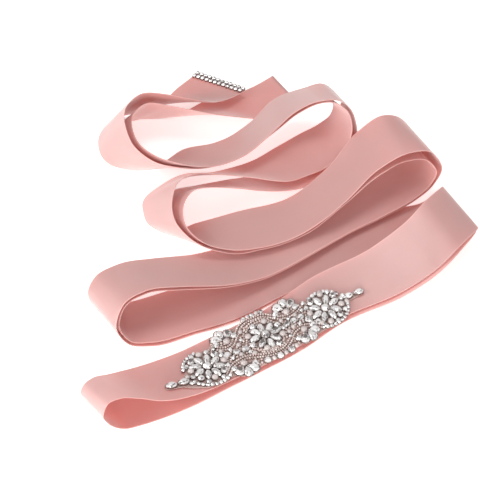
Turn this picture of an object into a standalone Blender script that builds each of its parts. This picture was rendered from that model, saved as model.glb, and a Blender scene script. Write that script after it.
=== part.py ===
"""A satin bridal belt: one long ribbon laid in loose loops, with a beaded applique.

All sizes below are in millimetres and degrees; the solids are made in metres, +Z up.
The belt lies on a flat surface at z = 0 and is looked at from the front (-Y) side.
"""
import bpy
import bmesh
import numpy as np

MM = 0.001

# Ribbon
RIBBON_WIDTH = 40.0
RIBBON_WALL = 1.0
LONGEST_STEP = 10.0
LARGEST_TURN = 10.0
WIDTH_CELLS = 2
SEAM = 0.3

# Applique: its middle along the upper half, its sideways offset and its small turn
APPLIQUE_AT = 130.6
APPLIQUE_OFFSET = -1.5
APPLIQUE_TURN = -3.4
BACKING_WALL = 1.0
MEDALLION_RADIUS = 14.5
CLUSTER_LENGTH = 19.0
CLUSTER_WIDTH = 13.5
TIP_LENGTH = 14.5
TIP_WIDTH = 5.6

# The backing's outline: along the belt, lower edge, upper edge.
BACKING_COLUMNS = ("along", "low", "high")
BACKING = (
    (-82, -15.5, -13),
    (-76, -16, -9),
    (-69, -16.5, -7),
    (-64, -18, -4),
    (-60, -19.5, 1),
    (-55, -21.5, 7),
    (-50, -22, 10),
    (-43, -21.5, 11),
    (-38, -20, 11.5),
    (-35, -21, 14),
    (-31, -25, 18),
    (-26, -26.5, 20),
    (-21, -24, 20),
    (-16, -21.5, 20),
    (-9, -22.5, 22),
    (-1, -23, 23),
    (7, -22, 21),
    (12, -21, 20.5),
    (18, -21.5, 20.5),
    (25, -21.5, 20),
    (31, -20.5, 15),
    (36, -19, 11.5),
    (43, -19, 11),
    (49, -18, 10),
    (54, -15, 6),
    (58, -11, 2),
    (62, -8, 1),
    (68, -7.5, 1),
    (72.5, -7, -1),
)

# Middles of the raised pieces on the applique: along the belt and across it
MEDALLIONS = (
    ("left", -47, -4.5),
    ("middle", -1.2, 1),
    ("right", 44, -3.8),
)
CLUSTERS = (
    ("upper_left", -26, 13.5),
    ("upper_right", 21.5, 14.5),
    ("lower_left", -26, -18.5),
    ("lower_right", 22.5, -15.5),
)
TIPS = (
    ("left", -71.5, -11.5),
    ("right", 66, -2.8),
)

# Raised work on the backing, from its middle out: share of its reach, height, petal height.
RING_COLUMNS = ("share", "height", "petal")
MEDALLION_RINGS = (
    (1.0, 1.0, 0.0),
    (0.92, 1.7, 0.0),
    (0.76, 1.8, 0.2),
    (0.66, 2.0, 0.7),
    (0.48, 2.3, 0.8),
    (0.28, 2.0, 0.2),
    (0.2, 3.2, 0.0),
    (0.1, 3.9, 0.0),
)
CLUSTER_RINGS = (
    (1.0, 0.9, 0.0),
    (0.85, 2.0, 0.3),
    (0.5, 2.7, 0.5),
)

# End bar: two rows of stones across the sewn end
BAR_LENGTH = 7.0
BAR_HEIGHT = 2.4
BAR_STONES = 12

# The middle of the belt's box in the table's numbers, moved to the origin
BOX_MIDDLE = (22.81, 4.66)

# Colours, linear
SATIN = (0.80, 0.46, 0.42)
NET = (0.55, 0.42, 0.40)
CRYSTAL = (0.78, 0.78, 0.76)

# The upper ribbon half, from the curl at the front left to its sewn end at the back.
# x, y, z are its near edge; heading and dip aim the width from near edge to far edge.
# gap, slip, tilt and swing place the second half: its distance, its shift across the width,
# its extra dip and its extra heading.
PATH_COLUMNS = ("place", "x", "y", "z", "heading", "dip", "gap", "slip", "tilt", "swing")
PATH = (
    ("front curl", -88.7, -164.5, 23, 116, 22.5, 2, 0, 0, 0),
    ("curl top", -86.5, -160, 27, 117.5, 26, 9, 0, -8, 0),
    ("front pass", -78, -154, 27, 121, 23.5, 20, 0, -16, 0),
    ("front pass", -68, -151, 23.5, 122, 19.5, 20, 0, -14, 0),
    ("front pass", -55, -147, 16.5, 123, 11, 15, -1, -8, 0),
    ("front pass", -36, -136.5, 9.5, 123, 6, 8, -1.5, -4, 0),
    ("front pass", -7, -117.5, 5.5, 123, 3, 3.6, -2, -1, 0),
    ("front pass", 31, -91, 5, 122.5, 2.5, 2.2, -2.5, 0, 0),
    ("front pass", 61, -65, 5, 122.5, -1.5, 2.2, -2.5, 0, 0),
    ("front pass", 98, -46, 8, 122, -7, 2.2, -2.5, 0, 0),
    ("right rise", 123, -27, 12, 123.5, -12, 2.4, -2.5, 0, 0),
    ("right rise", 137.5, -10, 14.5, 124.5, -14, 3.2, -2, 0, 0),
    ("front fold", 150, 12, 8.5, 124.5, -8, 3.4, -1, 0, 0),
    ("second pass", 139, 9.5, 2, 124, 0, 2.4, 0, 0, 0),
    ("second pass", 120, 3.5, 0.6, 123, 0, 2, 1, 0, 0),
    ("second pass", 98, -3, 0.5, 122, 0, 1.8, 1, 0, 0),
    ("second pass", 58, -20, 0.5, 120, 0, 1.8, 1, 0, 0),
    ("second pass", 19, -46, 0.5, 119, 0, 1.8, 1, 0, 0),
    ("second pass", -9, -66, 1, 119, 0, 2.2, 1, 0, 0),
    ("second pass", -33, -76, 1, 120, 0, 2.6, 1, 0, 0),
    ("left rise", -63, -88, 2, 121, 1, 3, 1, 0, 0),
    ("left rise", -76.5, -90, 6, 121, 6, 3, 0, 0, 0),
    ("left fold", -84, -86.5, 16, 119.5, 7, 3, 0, 0, 0),
    ("left fold", -80, -78, 28, 119, 12, 3, 0, 0, 0),
    ("third pass", -66, -69, 32, 119, 14, 3, 0, 0, 0),
    ("third pass", -45, -61, 28, 120, 13, 3, 0, 0, 0),
    ("third pass", -16, -50, 18, 118, 9, 2.4, 0, 0, 0),
    ("third pass", 10, -35, 10, 116.5, 4, 2, 0, 0, 0),
    ("third pass", 42, -10, 8, 118, 1, 1.8, 0, 0, 0),
    ("third pass", 66, 9.5, 7, 119.5, 1, 1.8, 0, 0, 0),
    ("third pass", 90, 25.5, 7, 121, 0, 1.8, 0, 0, 0),
    ("right rise", 110, 39, 9.5, 122, 0, 2.4, 0, 0, 0),
    ("right fold", 121, 48, 14, 122, 0, 3.2, 0, 0, 0),
    ("right fold", 124.5, 52, 22, 121, 0, 6, 1, 0, -1),
    ("right fold", 117.1, 55.1, 29.6, 121, 0, 7.5, -0.5, 2, -3),
    ("fourth pass", 104.9, 52.1, 31.5, 117, 0, 8, -0.5, -1, -3),
    ("fourth pass", 87.1, 41.1, 30, 113, 0, 4.5, 1.5, 3, -1),
    ("fourth pass", 64, 21, 23, 107, 8, 2.4, 0, 0, 0),
    ("fourth pass", 37, 1, 14, 107, 8, 2.2, 0, 0, 0),
    ("fourth pass", 7, -13, 13, 120, 3, 2.6, 0, 0, 0),
    ("fourth pass", -12, -18.5, 15, 127, 10, 4, 0, 0, 0),
    ("bow front", -30, -18, 21.5, 124, 29, 3, 2, -1, 0),
    ("bow front", -40, -11.5, 24, 124, 35, 4, 1, -3, -1),
    ("bow side", -48, -1.5, 26.5, 128, 39, 6, -1.5, -4, -1),
    ("bow side", -51, 14.5, 28.5, 134, 43, 6.5, -5.5, -4, -1),
    ("bow side", -47.5, 32.5, 30, 148, 46, 10, -8.5, -3, -11),
    ("bow back", -35.8, 44.5, 26.8, 150, 41, 11, -9.5, -6, -11),
    ("bow back", -19.1, 49.6, 20.8, 140, 30, 9, -14, -2, -1),
    ("fifth pass", 0, 48.7, 19.8, 135, 28, 8, -11, -6, 0),
    ("fifth pass", 27, 47.6, 17.5, 129, 13, 6.5, -3.5, 4, 2),
    ("fifth pass", 40, 56, 15, 125, 7, 5.5, -4, -3, -1),
    ("back fold", 52, 64.5, 14.5, 119, 4, 3, 0, 0, 0),
    ("back fold", 63.5, 73.5, 21.5, 115, 12, 3, 0, 0, 0),
    ("back fold", 68.5, 79, 35, 111, 24, 5, 2, -11, -7),
    ("back fold", 66.6, 84, 44, 106, 30, 3.5, 2.5, -8, -2),
    ("sixth pass", 60.5, 90.5, 46.3, 104, 30, 3.2, 1.5, -8, 2),
    ("sixth pass", 48, 98, 42, 108, 27, 2.4, 0, 0, 0),
    ("sixth pass", 32.5, 95, 35, 116, 27, 2.8, 0, 0, 0),
    ("sixth pass", 16, 82, 29.5, 118, 29.5, 2.2, -2, 0, 0),
    ("sixth pass", -6, 66, 21.5, 120, 23, 2, -3, 0, 0),
    ("sixth pass", -25, 59.5, 19.5, 121, 20, 2, -3, 0, 0),
    ("far bow front", -47, 51, 26.5, 126, 38, 3, -2, 1, 0),
    ("far bow front", -64, 54.5, 28.5, 131, 43, 5, 0, 1, 0),
    ("far bow side", -77, 65, 32.5, 139, 51, 5.5, 0, 0, 0),
    ("far bow side", -83.5, 82, 34.5, 150, 56, 6, 0, -2, 0),
    ("far bow side", -83, 104, 34.5, 154, 56, 7.5, 0, -3, 0),
    ("far bow back", -73, 117, 34, 153, 55, 8.5, 0, -3, 0),
    ("far bow back", -57, 120.5, 30.5, 150, 48, 9, 0, -4, 0),
    ("end pass", -42, 121.5, 25.5, 148, 36, 8, 0, -3, 0),
    ("end pass", -26, 127.5, 16.5, 151, 19, 6, 0, 4, 0),
    ("end pass", -16, 137, 10.5, 152, 8, 4.5, 0, 2, 0),
    ("sewn end", -3.2, 150.5, 7, 150, 2, 4, 0, 0, 0),
)

# The second half's own start, where the front curl turns under.
CURL_COLUMNS = ("place", "x", "y", "z", "heading", "dip")
CURL = (
    ("curl side", -88.6, -164.2, 20.5, 116, 23),
    ("curl side", -86.2, -164, 15.5, 117.5, 21),
    ("curl under", -82.5, -161, 8.4, 120, 10.8),
    ("curl under", -76, -156.5, 1.6, 122, 1.5),
    ("curl under", -66, -152.5, 0.5, 122, 0),
    ("curl under", -55, -147.5, 0.5, 123, 0),
)

# The second half's own end, which runs on past the upper half.
TAIL = (
    ("under the end", -24, 110, 21, 145, 29),
    ("under the end", -11, 116.5, 13, 144, 18),
    ("long end", 2, 123.5, 5, 142, 6),
    ("long end", 20, 126, 2, 133, 1),
    ("cut end", 37.5, 140, 0.5, 122, 0),
)

# Path rows at which the ribbon turns back on itself, so that each stretch is its own solid.
FOLD_ROWS = (12, 22, 33, 44, 53, 64)
STRETCHES = ("front_pass", "second_pass", "third_pass", "fourth_pass", "fifth_pass", "sixth_pass", "end_pass")
UNDER_FROM_ROW = 5
UNDER_TO_ROW = 67


def aim(heading, dip):
    """Unit vector of the width: level heading, sunk by the dip."""
    turn, sink = np.radians(heading), np.radians(dip)
    return np.stack([np.cos(turn) * np.cos(sink), np.sin(turn) * np.cos(sink), -np.sin(sink)], axis=-1)


def knots(rows):
    """Path length at each row, halfway between the lengths of both edges."""
    near = rows[:, :3]
    far = near + RIBBON_WIDTH * aim(rows[:, 3], rows[:, 4])
    steps = [np.linalg.norm(np.diff(edge, axis=0), axis=1) for edge in (near, far)]
    return np.concatenate([[0.0], np.cumsum((steps[0] + steps[1]) / 2)])


def smooth(at, rows, where):
    """Cubic curve through the rows, each tangent the weighted mean of its two chords."""
    span = np.diff(at)
    chord = np.diff(rows, axis=0) / span[:, None]
    slope = np.empty_like(rows)
    weight = span[1:, None] * chord[:-1] + span[:-1, None] * chord[1:]
    slope[1:-1] = weight / (span[1:] + span[:-1])[:, None]
    slope[0] = 1.5 * chord[0] - 0.5 * slope[1]
    slope[-1] = 1.5 * chord[-1] - 0.5 * slope[-2]
    cell = np.clip(np.searchsorted(at, where, side="right") - 1, 0, len(span) - 1)
    part = ((where - at[cell]) / span[cell])[:, None]
    size = span[cell][:, None]
    start = rows[cell] * (2 * part**3 - 3 * part**2 + 1) + slope[cell] * size * (part**3 - 2 * part**2 + part)
    end = rows[cell + 1] * (3 * part**2 - 2 * part**3) + slope[cell + 1] * size * (part**3 - part**2)
    return start + end


def upper_face(rows):
    """Unit normals on the applique's face, for rows taken along the path."""
    width = aim(rows[:, 3], rows[:, 4])
    along = np.gradient(rows[:, :3] + RIBBON_WIDTH / 2 * width, axis=0)
    normal = np.cross(along, width)
    return normal / np.linalg.norm(normal, axis=1)[:, None]


def upper_rows():
    """The table's numbers for the upper half."""
    return np.array([row[1:] for row in PATH], dtype=float)


def under_rows():
    """Rows of the second half: its curl, the upper half moved in by the gap, and its long end."""
    table = upper_rows()
    at = knots(table)
    ends = np.clip(np.stack([at - 1.0, at, at + 1.0], axis=1), 0.0, at[-1])
    sides = smooth(at, table, ends.ravel()).reshape(len(table), 3, -1)
    width = aim(table[:, 3], table[:, 4])
    middle = sides[:, :, :3] + RIBBON_WIDTH / 2 * aim(sides[:, :, 3], sides[:, :, 4])
    normal = np.cross(middle[:, 2] - middle[:, 0], width)
    normal /= np.linalg.norm(normal, axis=1)[:, None]
    heading, dip = table[:, 3] + table[:, 8], table[:, 4] + table[:, 7]
    near = table[:, :3] - table[:, 5:6] * normal + table[:, 6:7] * aim(heading, dip)
    moved = np.column_stack([near, heading, dip])[UNDER_FROM_ROW : UNDER_TO_ROW + 1]
    curl = np.array([row[1:] for row in CURL], dtype=float)
    tail = np.array([row[1:] for row in TAIL], dtype=float)
    return np.concatenate([curl, moved, tail])


def places(at, rows, first, last):
    """Path lengths from first to last, closer together where the ribbon bends more."""
    fine = np.linspace(first, last, max(int((last - first) / 0.5), 8))
    normal = upper_face(smooth(at, rows, fine))
    turn = np.degrees(np.arccos(np.clip((normal[1:] * normal[:-1]).sum(axis=1), -1, 1)))
    effort = np.concatenate([[0.0], np.cumsum(np.diff(fine) / LONGEST_STEP + turn / LARGEST_TURN)])
    count = int(np.ceil(effort[-1])) + 1
    return np.interp(np.linspace(0, effort[-1], count), effort, fine)


def strip(at, rows, where, cells=WIDTH_CELLS):
    """Middle points and face normals of a stretch, kept clear of the surface it lies on."""
    across = np.linspace(0, RIBBON_WIDTH, cells + 1)
    grids = []
    for offset in (-0.2, 0.0, 0.2):
        taken = smooth(at, rows, where + offset)
        width = aim(taken[:, 3], taken[:, 4])
        middle = taken[:, None, :3] + across[None, :, None] * width[:, None, :]
        middle[..., 2] = np.maximum(middle[..., 2], RIBBON_WALL / 2)
        grids.append(middle)
    before, middle, after = grids
    normal = np.cross(after - before, np.gradient(middle, axis=1))
    return middle, normal / np.linalg.norm(normal, axis=2, keepdims=True)


def wall(inner, outer, name, colour, rough):
    """A closed body between two grids of points that face each other."""
    rows, cols = inner.shape[:2]
    points = np.concatenate([inner.reshape(-1, 3), outer.reshape(-1, 3)])
    points[:, 2] = np.maximum(points[:, 2], 0.0)
    cell = np.arange(rows * cols).reshape(rows, cols)
    low = np.stack([cell[:-1, :-1], cell[:-1, 1:], cell[1:, 1:], cell[1:, :-1]], axis=-1).reshape(-1, 4)
    faces = [low, low[:, ::-1] + rows * cols]
    rim = np.concatenate([cell[0, :-1], cell[:-1, -1], cell[-1, :0:-1], cell[:0:-1, 0]])
    ahead = np.roll(rim, -1)
    faces.append(np.stack([rim, rim + rows * cols, ahead + rows * cols, ahead], axis=-1))
    return solid(name, points, np.concatenate(faces).tolist(), colour, rough)


def solid(name, points, faces, colour, rough):
    """One named closed mesh with its own material and its faces turned out."""
    mesh = bpy.data.meshes.new(name)
    mesh.from_pydata((points * MM).tolist(), [], faces)
    work = bmesh.new()
    work.from_mesh(mesh)
    bmesh.ops.recalc_face_normals(work, faces=work.faces)
    if work.calc_volume(signed=True) < 0:
        bmesh.ops.reverse_faces(work, faces=work.faces)
    bmesh.ops.triangulate(work, faces=work.faces)
    work.to_mesh(mesh)
    work.free()
    for face in mesh.polygons:
        face.use_smooth = True
    made = bpy.data.objects.new(name, mesh)
    bpy.context.collection.objects.link(made)
    material = bpy.data.materials.new(name + "_material")
    material.use_nodes = True
    shader = material.node_tree.nodes["Principled BSDF"]
    shader.inputs["Base Color"].default_value = (*colour, 1.0)
    shader.inputs["Roughness"].default_value = rough
    mesh.materials.append(material)
    return made


def ribbon(prefix, rows, folds, colour):
    """All stretches of one half, a seam apart at each fold."""
    at = knots(rows)
    cuts = [0.0] + [at[fold] for fold in folds] + [at[-1]]
    for name, first, last in zip(STRETCHES, cuts[:-1], cuts[1:]):
        where = places(at, rows, first + SEAM / 2, last - SEAM / 2)
        middle, normal = strip(at, rows, where)
        half = RIBBON_WALL / 2 * normal
        wall(middle - half, middle + half, f"{prefix}_{name}", colour, 0.45)


def on_ribbon(along, across, lift):
    """Points over the upper half: along and across the applique, lifted off the satin's middle."""
    turn = np.radians(APPLIQUE_TURN)
    path = APPLIQUE_AT + along * np.cos(turn) - across * np.sin(turn)
    side = APPLIQUE_OFFSET + along * np.sin(turn) + across * np.cos(turn)
    rows = upper_rows()[:, :5]
    return raised(rows, path, RIBBON_WIDTH / 2 + side, lift)


def raised(rows, path, side, lift):
    """Points at a path length and a distance from the near edge, lifted along the face."""
    at = knots(rows)
    spots = []
    for offset in (-0.2, 0.0, 0.2):
        taken = smooth(at, rows, path.ravel() + offset)
        width = aim(taken[:, 3], taken[:, 4])
        spots.append(taken[:, :3] + side.ravel()[:, None] * width)
    normal = np.cross(spots[2] - spots[0], width)
    normal /= np.linalg.norm(normal, axis=1)[:, None]
    points = spots[1] + np.broadcast_to(lift, path.shape).ravel()[:, None] * normal
    return points.reshape(*path.shape, 3)


def backing():
    """The applique's stiff net, cut to the ornament's outline."""
    outline = np.array(BACKING, dtype=float)
    along = np.linspace(outline[0, 0], outline[-1, 0], 53)
    low = np.interp(along, outline[:, 0], outline[:, 1])
    high = np.interp(along, outline[:, 0], outline[:, 2])
    share = np.linspace(0, 1, 7)
    across = low[:, None] + share * (high - low)[:, None]
    lengths = np.broadcast_to(along[:, None], across.shape)
    under = RIBBON_WALL / 2 + SEAM
    inner = on_ribbon(lengths, across, under)
    wall(inner, on_ribbon(lengths, across, under + BACKING_WALL), "applique_backing", NET, 0.7)


def mound(name, along, across, reach, rings, petals):
    """Raised bead work: rings of points from its underside, out over its rim, up to its middle."""
    angle = np.linspace(0, 2 * np.pi, 5 * petals, endpoint=False)
    under = RIBBON_WALL / 2 + 2 * SEAM + BACKING_WALL
    rows = [(0.5, 0.0, 0.0), (1.0, 0.0, 0.0), *rings]
    loops = []
    for share, height, petal in rows:
        lengths = along + share * reach[0] * np.cos(angle)
        sides = across + share * reach[1] * np.sin(angle)
        loops.append(on_ribbon(lengths, sides, under + height + petal * np.cos(petals * angle)))
    middle = np.array([[along], [along]])
    height = np.array([[under], [under + rings[-1][1] + 0.2]])
    caps = on_ribbon(middle, np.full((2, 1), across), height)[:, 0]
    count = len(angle)
    points = np.concatenate([*loops, caps])
    start = np.arange(count)
    ahead = np.roll(start, -1)
    faces = []
    for ring in range(len(loops) - 1):
        low, high = ring * count, (ring + 1) * count
        faces += np.stack([low + start, low + ahead, high + ahead, high + start], axis=1).tolist()
    top = (len(loops) - 1) * count
    faces += np.stack([start, ahead, np.full(count, len(points) - 2)], axis=1).tolist()
    faces += np.stack([top + start, top + ahead, np.full(count, len(points) - 1)], axis=1).tolist()
    solid(name, points, faces, CRYSTAL, 0.15)


def applique():
    """The backing, three medallions, four side clusters and the two tips."""
    backing()
    for name, along, across in MEDALLIONS:
        reach = (MEDALLION_RADIUS, MEDALLION_RADIUS)
        mound(f"medallion_{name}", along, across, reach, MEDALLION_RINGS, 8)
    for name, along, across in CLUSTERS:
        reach = (CLUSTER_LENGTH / 2, CLUSTER_WIDTH / 2)
        mound(f"cluster_{name}", along, across, reach, CLUSTER_RINGS, 3)
    for name, along, across in TIPS:
        reach = (TIP_LENGTH / 2, TIP_WIDTH / 2)
        mound(f"tip_{name}", along, across, reach, CLUSTER_RINGS, 2)


def end_bar():
    """Two rows of stones across the sewn end of the upper half."""
    rows = upper_rows()[:, :5]
    last = knots(rows)[-1]
    path = np.linspace(last - BAR_LENGTH + 1.0, last + 1.0, 5)
    side = np.linspace(0, RIBBON_WIDTH, 2 * BAR_STONES + 1)
    path, side = np.meshgrid(path, side, indexing="ij")
    row = np.array([0.0, 1.0, 0.0, 1.0, 0.0])[:, None]
    stone = np.tile([0.0, 1.0], BAR_STONES + 1)[: 2 * BAR_STONES + 1]
    under = RIBBON_WALL / 2 + SEAM
    height = BAR_HEIGHT * (0.55 + 0.45 * row * stone)
    inner = raised(rows, path, side, under)
    wall(inner, raised(rows, path, side, under + height), "end_bar", CRYSTAL, 0.15)


def centre(shift):
    """Move the middle of the whole belt's box over the origin."""
    for thing in bpy.data.objects:
        spots = np.array([vertex.co[:] for vertex in thing.data.vertices])
        spots[:, :2] -= np.array(shift) * MM
        thing.data.vertices.foreach_set("co", spots.ravel())
        thing.data.update()


def clear():
    """Start from an empty scene."""
    for thing in list(bpy.data.objects):
        bpy.data.objects.remove(thing, do_unlink=True)


clear()
ribbon("upper", upper_rows()[:, :5], FOLD_ROWS, SATIN)
under_folds = [fold - UNDER_FROM_ROW + len(CURL) for fold in FOLD_ROWS]
ribbon("under", under_rows(), under_folds, SATIN)
applique()
end_bar()
centre(BOX_MIDDLE)
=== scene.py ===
import math

import bmesh
import bpy
import numpy as np
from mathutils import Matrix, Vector


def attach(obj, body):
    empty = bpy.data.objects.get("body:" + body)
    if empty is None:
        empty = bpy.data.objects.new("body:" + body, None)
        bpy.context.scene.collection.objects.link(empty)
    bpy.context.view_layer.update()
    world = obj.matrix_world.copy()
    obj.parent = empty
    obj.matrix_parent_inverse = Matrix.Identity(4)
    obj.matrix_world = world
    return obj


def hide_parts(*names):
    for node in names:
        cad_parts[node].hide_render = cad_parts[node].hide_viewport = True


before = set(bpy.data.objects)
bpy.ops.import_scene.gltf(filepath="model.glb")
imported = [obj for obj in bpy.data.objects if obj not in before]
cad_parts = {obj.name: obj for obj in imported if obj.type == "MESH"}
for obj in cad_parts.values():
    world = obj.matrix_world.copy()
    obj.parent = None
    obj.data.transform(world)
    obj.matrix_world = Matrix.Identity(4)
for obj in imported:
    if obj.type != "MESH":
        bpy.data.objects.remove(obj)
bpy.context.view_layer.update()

# The surface the belt lies on: a white acrylic table top, matt, lit softly from below.
# It gives an even white ground with only a breath of shadow under the loops.
MM = 0.001
FLOOR_HALF = 6.0
TABLE_WHITE = "#FAFAF9"
TABLE_GLOW = 0.52


def linear(code):
    """sRGB hex to linear red, green and blue."""
    parts = np.array([int(code[place : place + 2], 16) / 255 for place in (1, 3, 5)])
    return np.where(parts > 0.04045, ((parts + 0.055) / 1.055) ** 2.4, parts / 12.92)


def colour(code):
    """sRGB hex to the four numbers of a colour socket."""
    return (*linear(code), 1.0)


def node(tree, kind, links=(), **settings):
    """Adds a node, sets its properties and sockets, and links (socket, source socket) pairs."""
    made = tree.nodes.new(kind)
    for name, value in settings.items():
        if hasattr(made, name):
            setattr(made, name, value)
        else:
            made.inputs[name.replace("_", " ")].default_value = value
    for socket, source in links:
        tree.links.new(source, made.inputs[socket])
    return made


def finish(name, **sockets):
    """A named material with a Principled shader and its sockets set."""
    material = bpy.data.materials.new(name)
    material.use_nodes = True
    shader = material.node_tree.nodes["Principled BSDF"]
    for socket, value in sockets.items():
        shader.inputs[socket.replace("_", " ")].default_value = value
    return material, material.node_tree, shader


def make_mesh(name, points, faces, smooth=True):
    """A mesh object at the origin from an array of points in metres and an array of faces."""
    data = bpy.data.meshes.new(name)
    data.from_pydata(points.tolist(), [], faces.tolist() if hasattr(faces, "tolist") else faces)
    data.polygons.foreach_set("use_smooth", np.full(len(data.polygons), smooth))
    data.update()
    made = bpy.data.objects.new(name, data)
    bpy.context.collection.objects.link(made)
    return made


floor_corners = FLOOR_HALF * np.array([(-1, -1, 0), (1, -1, 0), (1, 1, 0), (-1, 1, 0)], dtype=float)
floor_corners[:, 2] = -0.0002
floor = make_mesh("floor", floor_corners, [(0, 1, 2, 3)])
acrylic, _, _ = finish(
    "matt_white_acrylic",
    Base_Color=colour(TABLE_WHITE),
    Roughness=0.9,
    Emission_Color=colour(TABLE_WHITE),
    Emission_Strength=TABLE_GLOW,
)
floor.data.materials.append(acrylic)

# The ribbon: one length of double-faced polyester satin, 40 mm wide, with fine woven edges.
# Doubled at the front curl, its two halves lie together in the same loose loops.
# The satin is thinner than its solids, so the halves lie closer together than the table says.
RIBBON_WIDTH = 40.0
SATIN_THICK = 0.4
EDGE_THICK = 0.48
HALVES_CLOSER = 0.8
BOX_MIDDLE = (22.81, 4.66)

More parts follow.
